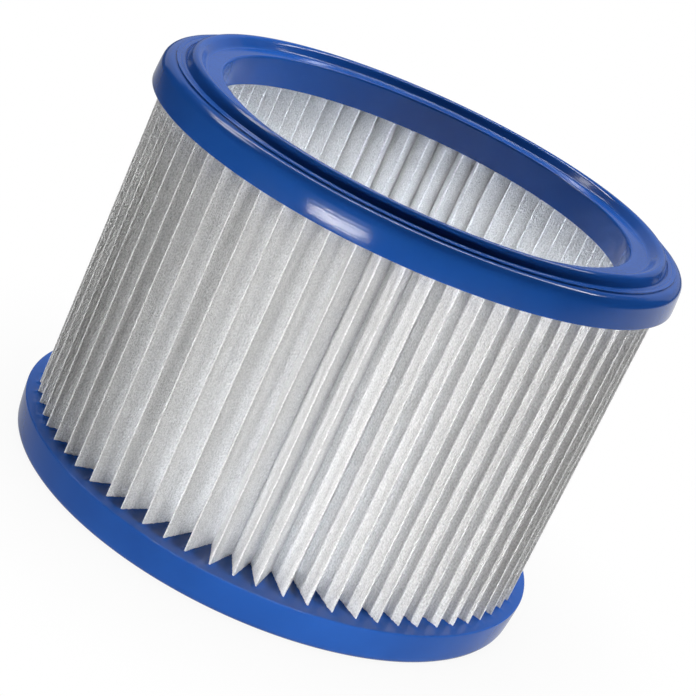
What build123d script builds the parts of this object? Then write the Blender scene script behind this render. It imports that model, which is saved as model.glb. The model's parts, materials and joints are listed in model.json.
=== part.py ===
"""Cartridge filter for a wet and dry vacuum cleaner: pleated fleece cast into two end rings.

Units are millimetres. The axis is +Z, the origin is the centre of the bottom face, and the sealing
lip points up.
"""
from build123d import *

import os
from math import radians, tan

# Overall sizes
overall_height = 140.0
bore_radius = 73.0

# Pleated fleece, one sheet folded into a closed loop
pleat_count = 68
pleat_depth = 14.8
fold_width = 0.9
fleece_thickness = 0.7

# How the fleece sits in the end rings
inner_cover = 1.6
outer_cover = 4.1
potting_depth = 6.0

# Both end rings are cast in open moulds that widen towards the pleats
mould_draft = 5.0
pleat_edge_round = 0.4
bore_edge_round = 0.8

# Bottom ring
base_ring_thickness = 12.0
base_round = 2.2

# Top ring, from its outer wall inwards: shoulder, stepped rim, groove and sealing lip
seal_ring_thickness = 11.0
shoulder_round = 3.0
shoulder_flat = 0.3
step_height = 0.6
rim_width = 2.9
rim_line_width = 0.7
rim_line_depth = 0.35
foot_groove_width = 0.5
foot_groove_depth = 0.5
lip_height = 3.0
lip_outer_slope = 1.5
lip_crest_width = 2.4
lip_inner_slope = 2.6
lip_round = 0.8

# Radii and heights that follow from the sizes above
pleat_inner_radius = bore_radius + inner_cover
pleat_outer_radius = pleat_inner_radius + pleat_depth
edge_radius = pleat_outer_radius + outer_cover
top_face = overall_height - lip_height
top_ring_underside = top_face - seal_ring_thickness
shoulder_face = top_face - step_height


def wall_radius(height_from_pleats):
    """Returns the outer wall's radius at a height measured away from the pleats."""
    return edge_radius - height_from_pleats * tan(radians(mould_draft))


def outline_moved(corners, distance):
    """Returns a closed outline moved outwards by a distance, with mitred corners."""
    moved = []
    for index, corner in enumerate(corners):
        arriving = (corner - corners[index - 1]).normalized()
        leaving = (corners[(index + 1) % len(corners)] - corner).normalized()
        side_before = Vector(arriving.Y, -arriving.X)
        side_after = Vector(leaving.Y, -leaving.X)
        mitre = (side_before + side_after) / (1 + side_before.dot(side_after))
        moved.append(corner + mitre * distance)
    return moved


def fold_corners():
    """Returns the fleece's middle line: a narrow flat at each outer fold and each inner fold."""
    half_pitch = 180 / pleat_count
    outer_fold = pleat_outer_radius - fleece_thickness / 2
    inner_fold = pleat_inner_radius + fleece_thickness / 2
    corners = []
    for step in range(2 * pleat_count):
        radius = inner_fold if step % 2 else outer_fold
        for side in (-1, 1):
            corner = Vector(radius, side * fold_width / 2)
            corners.append(corner.rotate(Axis.Z, step * half_pitch))
    return corners


def make_pleated_media():
    """Folds the fleece and runs it from the potting in the bottom ring to that in the top ring."""
    middle = fold_corners()
    outside = make_face(Polyline(*outline_moved(middle, fleece_thickness / 2), close=True))
    inside = make_face(Polyline(*outline_moved(middle, -fleece_thickness / 2), close=True))
    foot = base_ring_thickness - potting_depth
    head = top_ring_underside + potting_depth
    return Pos(0, 0, foot) * extrude(outside - inside, amount=head - foot)


def cast_ring(section_points, rounded_corners):
    """Revolves a section of radius and height, with its named corners rounded."""
    section = make_face(Polyline(*section_points, close=True))
    for point, size in rounded_corners:
        corner = section.vertices().sort_by_distance(Vector(*point))[0]
        section = fillet(corner, size)
    return revolve(Plane.XZ * section, Axis.Z)


def make_bottom_end_cap(media):
    """Casts the plain bottom ring round the foot of the fleece."""
    bore_foot = (bore_radius, 0)
    wall_foot = (wall_radius(base_ring_thickness), 0)
    wall_head = (edge_radius, base_ring_thickness)
    bore_head = (bore_radius, base_ring_thickness)
    ring = cast_ring(
        [bore_foot, wall_foot, wall_head, bore_head],
        [(bore_foot, bore_edge_round), (wall_foot, base_round), (wall_head, pleat_edge_round)],
    )
    return ring - media


def make_top_end_cap(media):
    """Casts the top ring, with its stepped rim and sealing lip, round the head of the fleece."""
    bore_foot = (bore_radius, top_ring_underside)
    wall_foot = (edge_radius, top_ring_underside)
    shoulder = (wall_radius(seal_ring_thickness - step_height), shoulder_face)
    step_radius = shoulder[0] - shoulder_round - shoulder_flat
    rim_middle = step_radius - rim_width / 2
    rim_inside = step_radius - rim_width
    groove_floor = top_face - foot_groove_depth
    lip_foot = rim_inside - foot_groove_width
    crest_outside = lip_foot - lip_outer_slope
    crest_inside = crest_outside - lip_crest_width
    crest_outer = (crest_outside, overall_height)
    crest_inner = (crest_inside, overall_height)
    bore_head = (bore_radius, top_face)
    rim_line = [
        (rim_middle + rim_line_width / 2, top_face),
        (rim_middle, top_face - rim_line_depth),
        (rim_middle - rim_line_width / 2, top_face),
    ]
    section = [
        bore_foot,
        wall_foot,
        shoulder,
        (step_radius, shoulder_face),
        (step_radius, top_face),
        *rim_line,
        (rim_inside, top_face),
        (rim_inside, groove_floor),
        (lip_foot, groove_floor),
        crest_outer,
        crest_inner,
        (crest_inside - lip_inner_slope, top_face),
        bore_head,
    ]
    ring = cast_ring(
        section,
        [
            (wall_foot, pleat_edge_round),
            (shoulder, shoulder_round),
            (crest_outer, lip_round),
            (crest_inner, lip_round),
            (bore_head, bore_edge_round),
        ],
    )
    return ring - media


def main():
    """Builds the three pieces and writes one file for each."""
    media = make_pleated_media()
    pieces = {
        "pleated_media": media,
        "top_end_cap": make_top_end_cap(media),
        "bottom_end_cap": make_bottom_end_cap(media),
    }
    os.makedirs("parts", exist_ok=True)
    for name, piece in pieces.items():
        export_step(piece, f"parts/{name}.step")


main()
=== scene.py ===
"""Looks of a vacuum cartridge filter: folded fleece potted into two cast polyurethane end rings."""
import json
from bisect import bisect
from math import atan2, ceil, cos, exp, floor, hypot, pi, radians, sin, tan
from random import Random

import bmesh
import bpy
from bpy.props import FloatProperty, FloatVectorProperty, IntProperty, PointerProperty
from mathutils import Matrix, Vector, noise


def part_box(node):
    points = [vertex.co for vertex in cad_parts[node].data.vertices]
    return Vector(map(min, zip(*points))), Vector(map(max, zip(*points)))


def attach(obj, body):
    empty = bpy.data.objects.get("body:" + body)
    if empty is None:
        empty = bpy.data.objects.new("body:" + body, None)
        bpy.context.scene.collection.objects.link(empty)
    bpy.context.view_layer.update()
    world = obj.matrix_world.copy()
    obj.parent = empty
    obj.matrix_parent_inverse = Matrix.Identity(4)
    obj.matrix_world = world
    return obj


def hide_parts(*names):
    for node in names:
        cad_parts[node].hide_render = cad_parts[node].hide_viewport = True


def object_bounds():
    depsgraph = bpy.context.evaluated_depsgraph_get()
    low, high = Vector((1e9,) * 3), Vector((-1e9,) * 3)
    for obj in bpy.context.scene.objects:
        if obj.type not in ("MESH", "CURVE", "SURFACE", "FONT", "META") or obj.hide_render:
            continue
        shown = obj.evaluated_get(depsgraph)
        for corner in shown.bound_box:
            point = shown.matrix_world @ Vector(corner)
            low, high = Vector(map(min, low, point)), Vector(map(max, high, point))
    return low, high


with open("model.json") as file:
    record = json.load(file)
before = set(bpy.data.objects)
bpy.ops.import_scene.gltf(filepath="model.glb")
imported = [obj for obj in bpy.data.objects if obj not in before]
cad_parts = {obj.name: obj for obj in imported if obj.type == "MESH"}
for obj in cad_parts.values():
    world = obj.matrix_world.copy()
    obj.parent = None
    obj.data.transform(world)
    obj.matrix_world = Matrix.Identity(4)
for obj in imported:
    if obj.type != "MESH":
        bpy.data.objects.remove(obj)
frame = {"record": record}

bl_info = {
    "name": "Cartridge filter",
    "version": (1, 0, 0),
    "blender": (4, 5, 0),
    "location": "3D View > Sidebar > Cartridge",
    "description": "Folds the fleece, casts the two end rings and sets the studio",
    "category": "Mesh",
}

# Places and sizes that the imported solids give
CAD_LOW, CAD_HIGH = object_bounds()
FLEECE_LOW, FLEECE_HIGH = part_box("pleated_media")
SEAL_LOW, SEAL_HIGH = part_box("top_end_cap")
BASE_LOW, BASE_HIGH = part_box("bottom_end_cap")
MOUNTS = {mount["name"]: mount for mount in frame["record"]["mounts"]}
MILLIMETRE = 0.001
BORE_RADIUS = MOUNTS["top_bore"]["dims"]["r_mm"] * MILLIMETRE
CENTRE_HEIGHT = (CAD_LOW.z + CAD_HIGH.z) / 2


def length(name, description, default):
    """A size in metres."""
    return FloatProperty(name=name, description=description, default=default, unit="LENGTH", precision=5)


def angle(name, description, degrees):
    """An angle, given here in degrees."""
    return FloatProperty(name=name, description=description, default=radians(degrees), unit="ROTATION")


def colour(name, description, default):
    """A surface colour in linear light."""
    return FloatVectorProperty(name=name, description=description, default=default, size=3, subtype="COLOR")


class FleeceSettings(bpy.types.PropertyGroup):
    """Sizes of the folded fleece."""

    pleat_count: IntProperty(name="Pleats", description="Folds around the cartridge", default=68, min=3)
    thickness: length("Thickness", "Thickness of the fleece", 0.0004)
    fold_width: length("Fold width", "Width of the blunt end of each fold", 0.00015)
    fold_round: length("Fold round", "How far the fold's two corners are eased", 0.00005)
    inner_cover: length("Inner cover", "Cast ring left between the bore and the folds", 0.0016)
    unevenness: FloatProperty(name="Unevenness", description="Spread of the folds, as a share of the pitch",
                              default=0.045)
    depth_spread: length("Depth spread", "How far the folds differ in depth", 0.00035)
    sway: length("Sway", "How far a pleat leans out of line half way up", 0.0004)
    flank_bow: length("Flank bow", "How far a flank bows between its folds", 0.0003)
    pinch: length("Pinch", "How far the flanks of a pleat draw together behind its sharp outer fold", 0.00065)
    rows: IntProperty(name="Rows", description="Divisions up the height", default=18, min=1)
    flank_columns: IntProperty(name="Flank columns", description="Divisions across a flank", default=6, min=1)
    seed: IntProperty(name="Seed", description="Start of the uneven spacing", default=7)


class RingSettings(bpy.types.PropertyGroup):
    """Sizes of the two cast end rings."""

    mould_draft: angle("Mould draft", "Taper of the outer wall, wider towards the pleats", 5.0)
    wall_crown: length("Wall crown", "How far the outer wall bulges half way up", 0.00025)
    edge_round: length("Edge round", "Round of the edges beside the pleats", 0.0004)
    bore_round: length("Bore round", "Round of the outer edge of the bore", 0.0008)
    base_round: length("Base round", "Round under the base ring", 0.0022)
    shoulder_round: length("Shoulder round", "Round at the top of the seal ring's wall", 0.0030)
    shoulder_flat: length("Shoulder flat", "Flat left beside the step", 0.0003)
    step_height: length("Step height", "Step from the shoulder up to the rim", 0.0006)
    rim_width: length("Rim width", "Flat rim between the step and the groove", 0.0029)
    rim_line_width: length("Rim line width", "Width of the line around the rim", 0.0007)
    rim_line_depth: length("Rim line depth", "Depth of the line around the rim", 0.0002)
    groove_width: length("Groove width", "Width of the groove at the lip's foot", 0.0005)
    groove_depth: length("Groove depth", "Depth of the groove at the lip's foot", 0.0005)
    lip_height: length("Lip height", "Height of the sealing lip above the rim", 0.0030)
    lip_outer_slope: length("Lip outer slope", "How far the lip's outer face leans in", 0.0015)
    lip_crest_width: length("Lip crest", "Width of the lip's crest", 0.0024)
    lip_inner_slope: length("Lip inner slope", "How far the lip's inner face leans out", 0.0026)
    lip_round: length("Lip round", "Round of the crest's edges", 0.00115)
    wick_height: length("Wick height", "How far the casting climbs the fleece", 0.0007)
    wick_reach: length("Wick reach", "How far from the fleece that climb is felt", 0.0008)
    steps_per_pleat: IntProperty(name="Steps per pleat", description="Divisions around, for each pleat",
                                 default=14, min=2)
    face_rows: IntProperty(name="Face rows", description="Divisions across the face that holds the pleats",
                           default=34, min=1)


class FinishSettings(bpy.types.PropertyGroup):
    """Colours of the materials."""

    casting_blue: colour("Casting blue", "Cast polyurethane", (0.011, 0.072, 0.310))
    casting_deep: colour("Casting deep blue", "Deeper patches of the casting", (0.007, 0.055, 0.250))
    fleece_white: colour("Fleece white", "Raised fibres of the fleece", (0.94, 0.937, 0.93))
    fleece_grey: colour("Fleece grey", "Hollows between the fibres", (0.55, 0.548, 0.54))
    floor_white: colour("Floor white", "Studio floor", (1.0, 1.0, 1.0))


class StageSettings(bpy.types.PropertyGroup):
    """The photograph's viewing angle and the studio."""

    view_distance: length("View distance", "From the camera to the cartridge's centre", 0.70)
    view_elevation: angle("View elevation", "Height of the camera above the horizon", 18.85)
    view_roll: angle("View roll", "Turn of the camera about its line of sight", 25.1)
    lens: FloatProperty(name="Lens", description="Focal length for a 36 mm frame", default=106.87)
    aim_drop: length("Aim drop", "How far below the centre the camera aims, up the picture", 0.00545)
    floor_radius: length("Floor radius", "Radius of the round floor", 12.0)


def settings():
    """All the settings, by the name of their group."""
    scene = bpy.context.scene
    return scene.cartridge_fleece, scene.cartridge_rings, scene.cartridge_finish, scene.cartridge_stage


# Mesh helpers

def finish_piece(name, bm, node, material):
    """Makes the object of a finished bmesh, shades it smooth, parents it to the root body and hides the solid that
    it replaces.
    """
    mesh = bpy.data.meshes.new(name)
    bm.to_mesh(mesh)
    bm.free()
    mesh.shade_smooth()
    piece = bpy.data.objects.new(name, mesh)
    bpy.context.scene.collection.objects.link(piece)
    mesh.materials.append(material)
    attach(piece, "root")
    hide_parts(node)
    return piece


def even_shading(piece):
    """Lets the large faces set the shading beside the small rounds."""
    modifier = piece.modifiers.new("Even shading", "WEIGHTED_NORMAL")
    modifier.weight = 80
    modifier.keep_sharp = True


# The folds, shared by the fleece and by the rings that it is potted in

def fold_corners(fleece):
    """Angle and radius of each fold corner on the middle of the fleece, two to a fold, outer fold first."""
    draw = Random(fleece.seed)
    pitch = 2 * pi / fleece.pleat_count
    outer_radius = FLEECE_HIGH.x - fleece.thickness / 2
    inner_radius = BORE_RADIUS + fleece.inner_cover + fleece.thickness / 2

    def drift():
        spread = fleece.unevenness
        return max(-2 * spread, min(2 * spread, draw.gauss(0, spread)))

    tips = [(pleat + drift()) * pitch for pleat in range(fleece.pleat_count)]
    corners = []
    for pleat, tip in enumerate(tips):
        following = tips[(pleat + 1) % fleece.pleat_count]
        if pleat + 1 == fleece.pleat_count:
            following += 2 * pi
        valley = (tip + following) / 2 + drift() * pitch / 4
        tip_radius = outer_radius - draw.random() * fleece.depth_spread
        valley_radius = inner_radius + draw.random() * fleece.depth_spread
        for middle, radius in ((tip, tip_radius), (valley, valley_radius)):
            half = fleece.fold_width / 2 / radius
            corners.append((middle - half, radius))
            corners.append((middle + half, radius))
    return corners


def on_circle(corner, height=0.0):
    """The point at an angle and radius."""
    turn, radius = corner
    return Vector((radius * cos(turn), radius * sin(turn), height))


def column_of(vert, columns):
    """Which division of the circle a vertex stands on."""
    return round(atan2(vert.co.y, vert.co.x) / (2 * pi) * columns) % columns


def sheet_runs(corners):
    """How far along the flat sheet each fold corner lies; the last is the length of the sheet."""
    runs = [0.0]
    for column, corner in enumerate(corners):
        following = corners[(column + 1) % len(corners)]
        runs.append(runs[-1] + (on_circle(following) - on_circle(corner)).length)
    return runs


def lay_sheet_uv(bm, corners):
    """Writes the flat sheet's own coordinates, in metres, to the band before it is folded."""
    columns = len(corners)
    runs = sheet_runs(corners)
    layer = bm.loops.layers.uv.new("sheet")
    for face in bm.faces:
        places = [column_of(loop.vert, columns) for loop in face.loops]
        closing = columns - 1 in places
        for loop, column in zip(face.loops, places):
            run = runs[columns] if closing and column == 0 else runs[column]
            loop[layer].uv = (run, loop.vert.co.z)


def fold_band(bm, fleece, corners):
    """Raises a closed band from a circle and folds it into pleats."""
    columns = len(corners)
    bmesh.ops.create_circle(bm, cap_ends=False, segments=columns, radius=FLEECE_HIGH.x)
    raised = bmesh.ops.extrude_edge_only(bm, edges=bm.edges[:])
    top = [item for item in raised["geom"] if isinstance(item, bmesh.types.BMVert)]
    bmesh.ops.translate(bm, verts=bm.verts[:], vec=(0, 0, FLEECE_LOW.z))
    bmesh.ops.translate(bm, verts=top, vec=(0, 0, FLEECE_HIGH.z - FLEECE_LOW.z))
    lay_sheet_uv(bm, corners)
    for vert in bm.verts:
        vert.co = on_circle(corners[column_of(vert, columns)], vert.co.z)


def upright_edges(bm):
    """The edges that run the full height of the fleece."""
    full = FLEECE_HIGH.z - FLEECE_LOW.z
    return [edge for edge in bm.edges if edge.calc_length() > 0.9 * full]


def divide_band(bm, fleece):
    """Eases the folds and divides the flanks so that they can bow and sway."""
    bmesh.ops.bevel(bm, geom=upright_edges(bm), offset=fleece.fold_round, offset_type="OFFSET",
                    affect="EDGES", segments=2, profile=0.5, material=-1)
    depth = FLEECE_HIGH.x - BORE_RADIUS - fleece.inner_cover
    uprights = upright_edges(bm)
    standing = set(uprights)
    flanks = [edge for edge in bm.edges if edge not in standing and edge.calc_length() > 0.6 * depth]
    bmesh.ops.subdivide_edges(bm, edges=flanks, cuts=fleece.flank_columns - 1, use_grid_fill=True)
    bmesh.ops.subdivide_edges(bm, edges=upright_edges(bm), cuts=fleece.rows - 1, use_grid_fill=True)


def place_on_pleat(turn, radius, corners):
    """Side of its own pleat that a point lies on, 1 or -1, and its share of the way out to the outer fold."""
    tips = corners[0::4]
    valleys = corners[3::4]
    first = valleys[-1][0] - 2 * pi
    inside = (turn - first) % (2 * pi) + first
    pleat = bisect([angle for angle, _ in valleys], inside) % len(tips)
    side = 1 if inside > (tips[pleat][0] + corners[4 * pleat + 1][0]) / 2 else -1
    valley = valleys[pleat if side > 0 else pleat - 1][1]
    share = (radius - valley) / (tips[pleat][1] - valley)
    return side, min(1.0, max(0.0, share))


def relax_pleats(bm, fleece, corners):
    """Pinches each pleat behind its outer fold and lets it sway and bow between the two rings."""
    open_height = SEAL_LOW.z - BASE_HIGH.z
    for vert in bm.verts:
        rise = min(1.0, max(0.0, (vert.co.z - BASE_HIGH.z) / open_height))
        hold = sin(pi * rise)
        turn = atan2(vert.co.y, vert.co.x)
        side, across = place_on_pleat(turn, hypot(vert.co.x, vert.co.y), corners)
        sway = noise.noise(Vector((7 * cos(turn), 7 * sin(turn), 1.6 * rise)))
        bow = noise.noise(Vector((fleece.pleat_count * turn * 0.7, 1.3 * rise, 4.0)))
        middle = 4 * across * (1 - across)
        shift = hold * (fleece.sway * sway + middle * fleece.flank_bow * bow)
        shift -= side * middle * fleece.pinch * min(1.0, 4 * hold)
        vert.co += Vector((-sin(turn), cos(turn), 0)) * shift


class CARTRIDGE_OT_fold_fleece(bpy.types.Operator):
    """Fold the fleece into its pleats and close it into a loop"""

    bl_idname = "cartridge.fold_fleece"
    bl_label = "Fold fleece"

    def execute(self, context):
        fleece, rings, finish, stage = settings()
        bm = bmesh.new()
        corners = fold_corners(fleece)
        fold_band(bm, fleece, corners)
        divide_band(bm, fleece)
        relax_pleats(bm, fleece, corners)
        bmesh.ops.recalc_face_normals(bm, faces=bm.faces[:])
        piece = finish_piece("pleated_fleece", bm, "pleated_media", fleece_material(finish))
        wall = piece.modifiers.new("Fleece thickness", "SOLIDIFY")
        wall.thickness = fleece.thickness
        wall.offset = 0.0
        wall.use_even_offset = True
        even_shading(piece)
        return {"FINISHED"}


# The cast rings

def wall_radius(rings, drop):
    """Radius of a ring's outer wall at a distance from its edge beside the pleats."""
    return SEAL_HIGH.x - drop * tan(rings.mould_draft)


def crown_corner(rings, edge_height, low, high):
    """The corner that bulges a wall between two heights, with the round that eases it."""
    middle = (low + high) / 2
    radius = wall_radius(rings, abs(middle - edge_height)) + rings.wall_crown
    return radius, middle, 0.47 * (high - low)


def seal_section(rings):
    """Corners of the seal ring's section from the bore outwards: radius, height and round."""
    top = SEAL_HIGH.z - rings.lip_height
    shoulder = top - rings.step_height
    wall_top = wall_radius(rings, shoulder - SEAL_LOW.z)
    step = wall_top - rings.shoulder_round - rings.shoulder_flat
    line = step - rings.rim_width / 2
    half_line = rings.rim_line_width / 2
    foot_outer = step - rings.rim_width
    foot_inner = foot_outer - rings.groove_width
    crest_outer = foot_inner - rings.lip_outer_slope
    crest_inner = crest_outer - rings.lip_crest_width
    fine = rings.groove_depth / 4
    return [
        (BORE_RADIUS, SEAL_LOW.z, rings.edge_round),
        (wall_radius(rings, 0), SEAL_LOW.z, rings.edge_round),
        crown_corner(rings, SEAL_LOW.z, SEAL_LOW.z + rings.edge_round, shoulder - rings.shoulder_round),
        (wall_top, shoulder, rings.shoulder_round),
        (step, shoulder, fine),
        (step, top, fine),
        (line + half_line, top, fine),
        (line, top - rings.rim_line_depth, 0),
        (line - half_line, top, fine),
        (foot_outer, top, fine),
        (foot_outer, top - rings.groove_depth, 0),
        (foot_inner, top - rings.groove_depth, 0),
        (crest_outer, SEAL_HIGH.z, rings.lip_round),
        (crest_inner, SEAL_HIGH.z, rings.lip_round),
        (crest_inner - rings.lip_inner_slope, top, rings.bore_round),
        (BORE_RADIUS, top, rings.bore_round),
    ]


def base_section(rings):
    """Corners of the base ring's section from the bore outwards: radius, height and round."""
    thickness = BASE_HIGH.z - BASE_LOW.z
    return [
        (BORE_RADIUS, BASE_HIGH.z, rings.edge_round),
        (wall_radius(rings, 0), BASE_HIGH.z, rings.edge_round),
        crown_corner(rings, BASE_HIGH.z, BASE_LOW.z + rings.base_round, BASE_HIGH.z - rings.edge_round),
        (wall_radius(rings, thickness), BASE_LOW.z, rings.base_round),
        (BORE_RADIUS, BASE_LOW.z, rings.bore_round),
    ]


def spin_section(bm, section, steps):
    """Turns a closed section once around the axis."""
    verts = [bm.verts.new((radius, 0, height)) for radius, height, _ in section]
    edges = [bm.edges.new((vert, verts[place - 1])) for place, vert in enumerate(verts)]
    bmesh.ops.spin(bm, geom=verts + edges, cent=(0, 0, 0), axis=(0, 0, 1), dvec=(0, 0, 0), angle=2 * pi,
                   steps=steps, use_merge=True, use_duplicate=False)
    bmesh.ops.remove_doubles(bm, verts=bm.verts[:], dist=MILLIMETRE / 1000)
    bmesh.ops.recalc_face_normals(bm, faces=bm.faces[:])


def around(edge, radius, height):
    """True for an edge that runs around the ring at this radius and height."""
    near = MILLIMETRE / 100
    return all(abs(vert.co.z - height) < near and abs(hypot(vert.co.x, vert.co.y) - radius) < near
               for vert in edge.verts)


def round_corners(bm, section):
    """Rounds each corner of the spun section by its own amount."""
    for radius, height, size in section:
        if size:
            edges = [edge for edge in bm.edges if around(edge, radius, height)]
            segments = 2 + ceil(size / MILLIMETRE)
            bmesh.ops.bevel(bm, geom=edges, offset=size, offset_type="OFFSET", affect="EDGES",
                            segments=segments, profile=0.5, material=-1)


def distance_to_folds(point, corners):
    """Distance, seen from above, to the nearest stretch of the fleece's middle."""
    columns = len(corners)
    here = round(atan2(point.y, point.x) / (2 * pi) * columns)
    nearest = 1.0
    for column in range(here - 6, here + 7):
        start = on_circle(corners[column % columns])
        run = on_circle(corners[(column + 1) % columns]) - start
        along = max(0.0, min(1.0, (point - start).dot(run) / run.length_squared))
        nearest = min(nearest, (point - start - run * along).length)
    return nearest


def climb_fleece(bm, face_height, up, rings, fleece, corners):
    """Divides the face that holds the pleats and lets the casting climb the fleece a little."""
    on_face = [edge for edge in bm.edges
               if all(abs(vert.co.z - face_height) < MILLIMETRE / 100 for vert in edge.verts)
               and edge.calc_length() > 10 * MILLIMETRE]
    bmesh.ops.subdivide_edges(bm, edges=on_face, cuts=rings.face_rows - 1, use_grid_fill=True)
    inner = BORE_RADIUS + rings.edge_round * 1.01
    outer = SEAL_HIGH.x - rings.edge_round * 1.01
    for vert in bm.verts:
        radius = hypot(vert.co.x, vert.co.y)
        if abs(vert.co.z - face_height) < MILLIMETRE / 100 and inner < radius < outer:
            flat = Vector((vert.co.x, vert.co.y, 0))
            clear = max(0.0, distance_to_folds(flat, corners) - fleece.thickness / 2)
            ripple = 0.75 + 0.5 * noise.noise(flat * 900)
            vert.co.z += up * rings.wick_height * ripple * exp(-clear / rings.wick_reach)


def cast_ring(name, node, section, face_height, up):
    """Spins, rounds and finishes one of the two end rings."""
    fleece, rings, finish, stage = settings()
    bm = bmesh.new()
    spin_section(bm, section, rings.steps_per_pleat * fleece.pleat_count)
    round_corners(bm, section)
    climb_fleece(bm, face_height, up, rings, fleece, fold_corners(fleece))
    bmesh.ops.recalc_face_normals(bm, faces=bm.faces[:])
    piece = finish_piece(name, bm, node, casting_material(finish))
    even_shading(piece)


class CARTRIDGE_OT_cast_seal_ring(bpy.types.Operator):
    """Cast the upper ring with its stepped rim and sealing lip"""

    bl_idname = "cartridge.cast_seal_ring"
    bl_label = "Cast seal ring"

    def execute(self, context):
        rings = settings()[1]
        cast_ring("seal_ring", "top_end_cap", seal_section(rings), SEAL_LOW.z, -1)
        return {"FINISHED"}


class CARTRIDGE_OT_cast_base_ring(bpy.types.Operator):
    """Cast the plain lower ring that the pleats stand in"""

    bl_idname = "cartridge.cast_base_ring"
    bl_label = "Cast base ring"

    def execute(self, context):
        rings = settings()[1]
        cast_ring("base_ring", "bottom_end_cap", base_section(rings), BASE_HIGH.z, 1)
        return {"FINISHED"}


# Materials

def add(tree, kind, inputs=None, **options):
    """Adds a node, sets its options, and sets or links its inputs."""
    made = tree.nodes.new(kind)
    for key, value in options.items():
        setattr(made, key, value)
    for key, value in (inputs or {}).items():
        if isinstance(value, bpy.types.NodeSocket):
            tree.links.new(value, made.inputs[key])
        else:
            made.inputs[key].default_value = value
    return made


def blend_colours(tree, factor, first, second):
    """Mixes two colours by a factor."""
    made = add(tree, "ShaderNodeMix", {0: factor, 6: first, 7: second}, data_type="RGBA")
    return made.outputs[2]


def arithmetic(tree, operation, *values):
    """One sum on two or three values."""
    return add(tree, "ShaderNodeMath", dict(enumerate(values)), operation=operation).outputs[0]


def spread(tree, value, low, high, to_low=0.0, to_high=1.0):
    """Stretches a range of values onto another."""
    made = add(tree, "ShaderNodeMapRange", {"Value": value, "From Min": low, "From Max": high,
                                            "To Min": to_low, "To Max": to_high})
    return made.outputs["Result"]


def rgba(value):
    """A colour with full opacity."""
    return (*value, 1.0)


def empty_material(name):
    """A material with one Principled shader."""
    found = bpy.data.materials.get(name)
    if found:
        return found, None
    material = bpy.data.materials.new(name)
    material.use_nodes = True
    tree = material.node_tree
    tree.nodes.clear()
    shader = add(tree, "ShaderNodeBsdfPrincipled")
    add(tree, "ShaderNodeOutputMaterial", {"Surface": shader.outputs["BSDF"]})
    return material, shader


def mottle_group():
    """Node group: a cloudy value at two scales, for patches of tone."""
    found = bpy.data.node_groups.get("mottle")
    if found:
        return found
    group = bpy.data.node_groups.new("mottle", "ShaderNodeTree")
    group.interface.new_socket("Vector", in_out="INPUT", socket_type="NodeSocketVector")
    group.interface.new_socket("Coarse scale", in_out="INPUT", socket_type="NodeSocketFloat")
    group.interface.new_socket("Fine scale", in_out="INPUT", socket_type="NodeSocketFloat")
    group.interface.new_socket("Patches", in_out="OUTPUT", socket_type="NodeSocketFloat")
    group.interface.new_socket("Grain", in_out="OUTPUT", socket_type="NodeSocketFloat")
    source = add(group, "NodeGroupInput")
    coarse = add(group, "ShaderNodeTexNoise", {"Vector": source.outputs["Vector"],
                                               "Scale": source.outputs["Coarse scale"], "Detail": 3.0})
    fine = add(group, "ShaderNodeTexNoise", {"Vector": source.outputs["Vector"],
                                             "Scale": source.outputs["Fine scale"], "Detail": 2.0})
    add(group, "NodeGroupOutput", {"Patches": spread(group, coarse.outputs["Fac"], 0.3, 0.7),
                                   "Grain": spread(group, fine.outputs["Fac"], 0.36, 0.64)})
    return group


def casting_material(finish):
    """Blue cast polyurethane: half-gloss, faintly mottled, with the turned lines of its mould."""
    material, shader = empty_material("cast_polyurethane")
    if shader is None:
        return material
    tree = material.node_tree
    place = add(tree, "ShaderNodeTexCoord").outputs["Object"]
    mottle = add(tree, "ShaderNodeGroup", node_tree=mottle_group())
    tree.links.new(place, mottle.inputs["Vector"])
    mottle.inputs["Coarse scale"].default_value = 28.0
    mottle.inputs["Fine scale"].default_value = 1100.0
    patches, grain = mottle.outputs["Patches"], mottle.outputs["Grain"]
    tone = blend_colours(tree, patches, rgba(finish.casting_deep), rgba(finish.casting_blue))
    tree.links.new(tone, shader.inputs["Base Color"])
    tree.links.new(spread(tree, patches, 0, 1, 0.10, 0.14), shader.inputs["Roughness"])
    flat = add(tree, "ShaderNodeVectorMath", {0: place, 1: (1, 1, 0)}, operation="MULTIPLY").outputs[0]
    radius = add(tree, "ShaderNodeVectorMath", {0: flat}, operation="LENGTH").outputs["Value"]
    height = add(tree, "ShaderNodeSeparateXYZ", {0: place}).outputs["Z"]
    lathe = arithmetic(tree, "ADD", radius, arithmetic(tree, "MULTIPLY", height, 0.83))
    lines = add(tree, "ShaderNodeTexNoise", {"W": lathe, "Scale": 2200.0, "Detail": 1.0},
                noise_dimensions="1D")
    relief = arithmetic(tree, "ADD", lines.outputs["Fac"], arithmetic(tree, "MULTIPLY", grain, 0.6))
    bump = add(tree, "ShaderNodeBump", {"Strength": 0.25, "Distance": 0.00003, "Height": relief})
    tree.links.new(bump.outputs["Normal"], shader.inputs["Normal"])
    shader.inputs["IOR"].default_value = 1.48
    shader.inputs["Specular IOR Level"].default_value = 0.32
    return material


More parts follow.
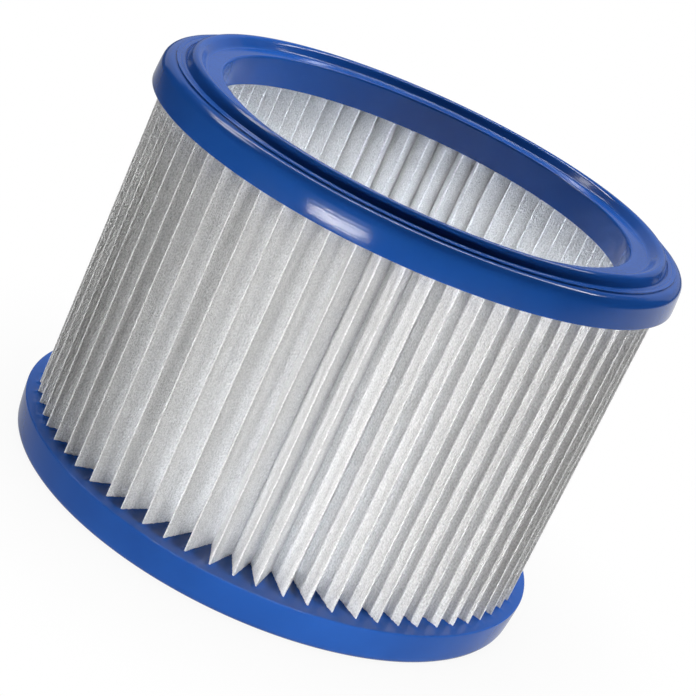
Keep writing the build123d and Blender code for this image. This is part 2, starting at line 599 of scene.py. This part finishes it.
def fibre_group():
    """Node group: a web of short fibres lying across each other on a flat sheet."""
    group = bpy.data.node_groups.new("fibre_web", "ShaderNodeTree")
    group.interface.new_socket("Vector", in_out="INPUT", socket_type="NodeSocketVector")
    group.interface.new_socket("Web", in_out="OUTPUT", socket_type="NodeSocketFloat")
    source = add(group, "NodeGroupInput").outputs["Vector"]
    web = None
    for degrees in (12, 58, 101, 155):
        turned = add(group, "ShaderNodeMapping", {"Vector": source, "Rotation": (0, 0, radians(degrees)),
                                                  "Scale": (2600.0, 330.0, 1.0)})
        strand = add(group, "ShaderNodeTexNoise", {"Vector": turned.outputs["Vector"], "Scale": 1.0,
                                                   "Detail": 1.0, "Distortion": 0.4}, noise_dimensions="2D")
        ridge = spread(group, strand.outputs["Fac"], 0.48, 0.72)
        web = ridge if web is None else arithmetic(group, "MAXIMUM", web, ridge)
    add(group, "NodeGroupOutput", {"Web": web})
    return group


def fleece_material(finish):
    """White bonded fleece: a matt web of fibres with cloudy weight."""
    material, shader = empty_material("bonded_fleece")
    tree = material.node_tree
    sheet = add(tree, "ShaderNodeUVMap", uv_map="sheet").outputs["UV"]
    web = add(tree, "ShaderNodeGroup", {"Vector": sheet}, node_tree=fibre_group()).outputs["Web"]
    mottle = add(tree, "ShaderNodeGroup", node_tree=mottle_group())
    tree.links.new(sheet, mottle.inputs["Vector"])
    mottle.inputs["Coarse scale"].default_value = 140.0
    mottle.inputs["Fine scale"].default_value = 1400.0
    cloud = arithmetic(tree, "MULTIPLY", mottle.outputs["Patches"], 0.15)
    speckle = arithmetic(tree, "MULTIPLY", mottle.outputs["Grain"], 0.50)
    weight = arithmetic(tree, "MULTIPLY_ADD", web, 0.35, arithmetic(tree, "ADD", cloud, speckle))
    tone = blend_colours(tree, weight, rgba(finish.fleece_grey), rgba(finish.fleece_white))
    tree.links.new(tone, shader.inputs["Base Color"])
    tree.links.new(spread(tree, web, 0, 1, 1.0, 0.8), shader.inputs["Roughness"])
    relief = arithmetic(tree, "ADD", web, arithmetic(tree, "MULTIPLY", mottle.outputs["Grain"], 0.8))
    bump = add(tree, "ShaderNodeBump", {"Strength": 0.9, "Distance": 0.0003, "Height": relief})
    tree.links.new(bump.outputs["Normal"], shader.inputs["Normal"])
    shader.inputs["Specular IOR Level"].default_value = 0.2
    shader.inputs["Subsurface Weight"].default_value = 0.9
    shader.inputs["Subsurface Radius"].default_value = (1.0, 1.0, 1.0)
    shader.inputs["Subsurface Scale"].default_value = 0.0014
    return material


def floor_material(finish):
    """A glowing table: even white to the eye with a painted soft shade where the ring stands, and a painted pool
    of light that glows onto the cartridge.
    """
    material = bpy.data.materials.new("studio_floor")
    material.use_nodes = True
    tree = material.node_tree
    tree.nodes.clear()
    seen = add(tree, "ShaderNodeLightPath").outputs["Is Camera Ray"]
    # Painted shade: to the eye the floor's glow dims where ambient occlusion finds the ring close by.
    shade = add(tree, "ShaderNodeAmbientOcclusion", {"Distance": 0.08}, samples=3).outputs["AO"]
    shown = spread(tree, shade, 0, 1, 0.90, 1.0)
    # Painted light: towards the cartridge the floor glows as a pool, strongest within 0.45 m of a spot behind and
    # to the right and fading to a low level by 1 m; it is no lamp.
    place = add(tree, "ShaderNodeTexCoord").outputs["Object"]
    away = add(tree, "ShaderNodeVectorMath", {0: place, 1: (0.45, 0.45, 0)}, operation="DISTANCE").outputs["Value"]
    lit = spread(tree, away, 0.45, 1.0, 0.80, 0.05)
    level = add(tree, "ShaderNodeMix", {0: seen, 2: lit, 3: shown}).outputs[0]
    glow = add(tree, "ShaderNodeEmission", {"Color": rgba(finish.floor_white), "Strength": level})
    add(tree, "ShaderNodeOutputMaterial", {"Surface": glow.outputs[0]})
    return material


# The studio

def lay_floor(finish, stage):
    """A large round floor under the base ring."""
    bm = bmesh.new()
    bmesh.ops.create_circle(bm, cap_ends=True, segments=96, radius=stage.floor_radius)
    bmesh.ops.translate(bm, verts=bm.verts[:], vec=(0, 0, CAD_LOW.z - MILLIMETRE / 20))
    mesh = bpy.data.meshes.new("studio_floor")
    bm.to_mesh(mesh)
    bm.free()
    floor = bpy.data.objects.new("studio_floor", mesh)
    bpy.context.scene.collection.objects.link(floor)
    mesh.materials.append(floor_material(finish))


def direction(azimuth, elevation):
    """Unit vector from the cartridge towards a place in the studio; azimuth in degrees from +X."""
    turn, rise = radians(azimuth), radians(elevation)
    return Vector((cos(turn) * cos(rise), sin(turn) * cos(rise), sin(rise)))


def hang(name, kind, power, place, aim, receivers):
    """Hangs a lamp at a place, turned towards a point, out of sight; its light keeps to the pieces named."""
    lamp = bpy.data.lights.new(name, kind)
    lamp.energy = power
    holder = bpy.data.objects.new(name, lamp)
    bpy.context.scene.collection.objects.link(holder)
    holder.location = place
    holder.rotation_euler = (place - aim).to_track_quat("Z", "Y").to_euler()
    holder.visible_camera = False
    if receivers:
        lit = bpy.data.collections.new(name + "_receivers")
        for piece in receivers:
            lit.objects.link(bpy.data.objects[piece])
        holder.light_linking.receiver_collection = lit
    return holder


def panel(name, azimuth, elevation, distance, width, height, power, receivers=(), effect="both",
          shape="RECTANGLE"):
    """A flat lamp aimed at the cartridge's centre, for its light, for its glint or for both."""
    centre = Vector((0, 0, CENTRE_HEIGHT))
    place = centre + direction(azimuth, elevation) * distance
    holder = hang(name, "AREA", power, place, centre, receivers)
    holder.data.shape = shape
    holder.data.size = width
    holder.data.size_y = height
    holder.visible_glossy = effect != "light"
    holder.visible_diffuse = effect != "glint"


def beam(name, azimuth, elevation, distance, aim, cone, size, power, receivers=()):
    """A small lamp with a soft-edged beam that leaves no glint."""
    place = Vector((0, 0, CENTRE_HEIGHT)) + direction(azimuth, elevation) * distance
    holder = hang(name, "SPOT", power, place, Vector(aim), receivers)
    holder.data.spot_size = radians(cone)
    holder.data.spot_blend = 1.0
    holder.data.shadow_soft_size = size
    holder.visible_glossy = False


def floor_strip(name, place, width, depth, power, receivers=()):
    """A strip lamp low on the floor, turned up towards the seal ring, that leaves no glint."""
    holder = hang(name, "AREA", power, Vector(place), Vector((0, -SEAL_HIGH.x, SEAL_HIGH.z)), receivers)
    holder.data.shape = "RECTANGLE"
    holder.data.size = width
    holder.data.size_y = depth
    holder.visible_glossy = False


def bore_glow(name, power, receivers=()):
    """A round lamp lying on the floor inside the bore, for the light that the fleece lets through."""
    place = Vector((0, 0, CAD_LOW.z + 2 * MILLIMETRE))
    holder = hang(name, "AREA", power, place, Vector((0, 0, CAD_HIGH.z)), receivers)
    holder.data.shape = "DISK"
    holder.data.size = 1.9 * BORE_RADIUS
    holder.data.color = (0.84, 0.90, 1.0)
    holder.visible_glossy = False


def hang_lamps():
    """Low front light on the fleece, light from below on the ring walls and from behind on their tops."""
    fleece, seal, base = ("pleated_fleece",), ("seal_ring",), ("base_ring",)
    beam("key_beam", -111, -3.4, 0.85, (0.185, 0.0, 0.08), 30, 0.03, 31, fleece)
    beam("left_beam", -84, 3, 0.9, (-0.18, 0.0, 0.12), 15, 0.04, 15, fleece)
    panel("left_fill", -150, 2, 1.4, 0.4, 0.1, 10.0, fleece, "light")
    panel("right_fill", -55, -1, 1.2, 0.5, 0.1, 7.0, fleece, "light")
    bore_glow("bore_lamp", 0.45, fleece)
    floor_strip("ring_strip", (0.0, -0.36, 0.006), 1.0, 0.06, 3.8, seal + base)
    panel("key_strip", -110, -3.4, 0.85, 0.38, 0.013, 1.7, seal, "glint", "ELLIPSE")
    beam("rim_beam", -20, 25, 0.9, (-0.075, 0.03, 0.134), 10, 0.03, 22, seal)
    panel("base_panel", -35, 45, 1.0, 0.3, 0.1, 8, base, "light")
    panel("edge_strip", -90, 45, 1.0, 1.2, 0.06, 15, base, "glint")
    panel("left_panel", 166, 47, 1.3, 0.3, 0.3, 3.0)
    panel("backdrop", 90, 18, 1.8, 3.0, 1.0, 3.0)
    panel("back_panel", 90, 46, 1.8, 3.0, 0.7, 95, (), "light")
    panel("glint_strip", 90, 58, 1.8, 2.6, 0.12, 20, seal, "glint")


def set_world():
    """A white backdrop to the eye and a low even fill on the cartridge."""
    world = bpy.data.worlds.new("studio")
    bpy.context.scene.world = world
    world.use_nodes = True
    tree = world.node_tree
    tree.nodes.clear()
    seen = add(tree, "ShaderNodeLightPath").outputs["Is Camera Ray"]
    level = spread(tree, seen, 0, 1, 0.02, 1.0)
    back = add(tree, "ShaderNodeBackground", {"Color": (1, 1, 1, 1), "Strength": level})
    add(tree, "ShaderNodeOutputWorld", {"Surface": back.outputs[0]})


def set_camera(stage):
    """Sets the photograph's view, rolled so that the cartridge leans to the right."""
    camera = bpy.data.cameras.new("camera")
    camera.sensor_width = 36.0
    camera.lens = stage.lens
    camera.clip_start = 0.01
    camera.clip_end = 60.0
    holder = bpy.data.objects.new("camera", camera)
    bpy.context.scene.collection.objects.link(holder)
    rise = stage.view_elevation
    back = Vector((0, -cos(rise), sin(rise)))
    level_right = Vector((1, 0, 0))
    roll = Matrix.Rotation(stage.view_roll, 3, back)
    right = roll @ level_right
    up = roll @ back.cross(level_right)
    place = Vector((0, 0, CENTRE_HEIGHT)) + back * stage.view_distance - up * stage.aim_drop
    axes = Matrix((right, up, back)).transposed()
    holder.matrix_world = Matrix.Translation(place) @ axes.to_4x4()
    bpy.context.scene.camera = holder


class CARTRIDGE_OT_set_stage(bpy.types.Operator):
    """Lay the floor, hang the lamps and set the camera"""

    bl_idname = "cartridge.set_stage"
    bl_label = "Set stage"

    def execute(self, context):
        fleece, rings, finish, stage = settings()
        lay_floor(finish, stage)
        hang_lamps()
        set_world()
        set_camera(stage)
        context.scene.view_settings.view_transform = "Standard"
        return {"FINISHED"}


class CARTRIDGE_PT_panel(bpy.types.Panel):
    """Buttons for the cartridge's pieces and its stage"""

    bl_idname = "CARTRIDGE_PT_panel"
    bl_label = "Cartridge filter"
    bl_space_type = "VIEW_3D"
    bl_region_type = "UI"
    bl_category = "Cartridge"

    def draw(self, context):
        for operator in OPERATORS:
            self.layout.operator(operator.bl_idname)


GROUPS = {
    "cartridge_fleece": FleeceSettings,
    "cartridge_rings": RingSettings,
    "cartridge_finish": FinishSettings,
    "cartridge_stage": StageSettings,
}
OPERATORS = (
    CARTRIDGE_OT_fold_fleece,
    CARTRIDGE_OT_cast_seal_ring,
    CARTRIDGE_OT_cast_base_ring,
    CARTRIDGE_OT_set_stage,
)


def register():
    """Registers the settings, the operators and the panel."""
    for name, group in GROUPS.items():
        bpy.utils.register_class(group)
        setattr(bpy.types.Scene, name, PointerProperty(type=group))
    for operator in OPERATORS:
        bpy.utils.register_class(operator)
    bpy.utils.register_class(CARTRIDGE_PT_panel)


def unregister():
    """Takes the panel, the operators and the settings away again."""
    bpy.utils.unregister_class(CARTRIDGE_PT_panel)
    for operator in reversed(OPERATORS):
        bpy.utils.unregister_class(operator)
    for name, group in reversed(GROUPS.items()):
        delattr(bpy.types.Scene, name)
        bpy.utils.unregister_class(group)


def main():
    """Makes every piece and sets the stage."""
    register()
    bpy.ops.cartridge.fold_fleece()
    bpy.ops.cartridge.cast_seal_ring()
    bpy.ops.cartridge.cast_base_ring()
    bpy.ops.cartridge.set_stage()


if __name__ == "__main__":
    main()
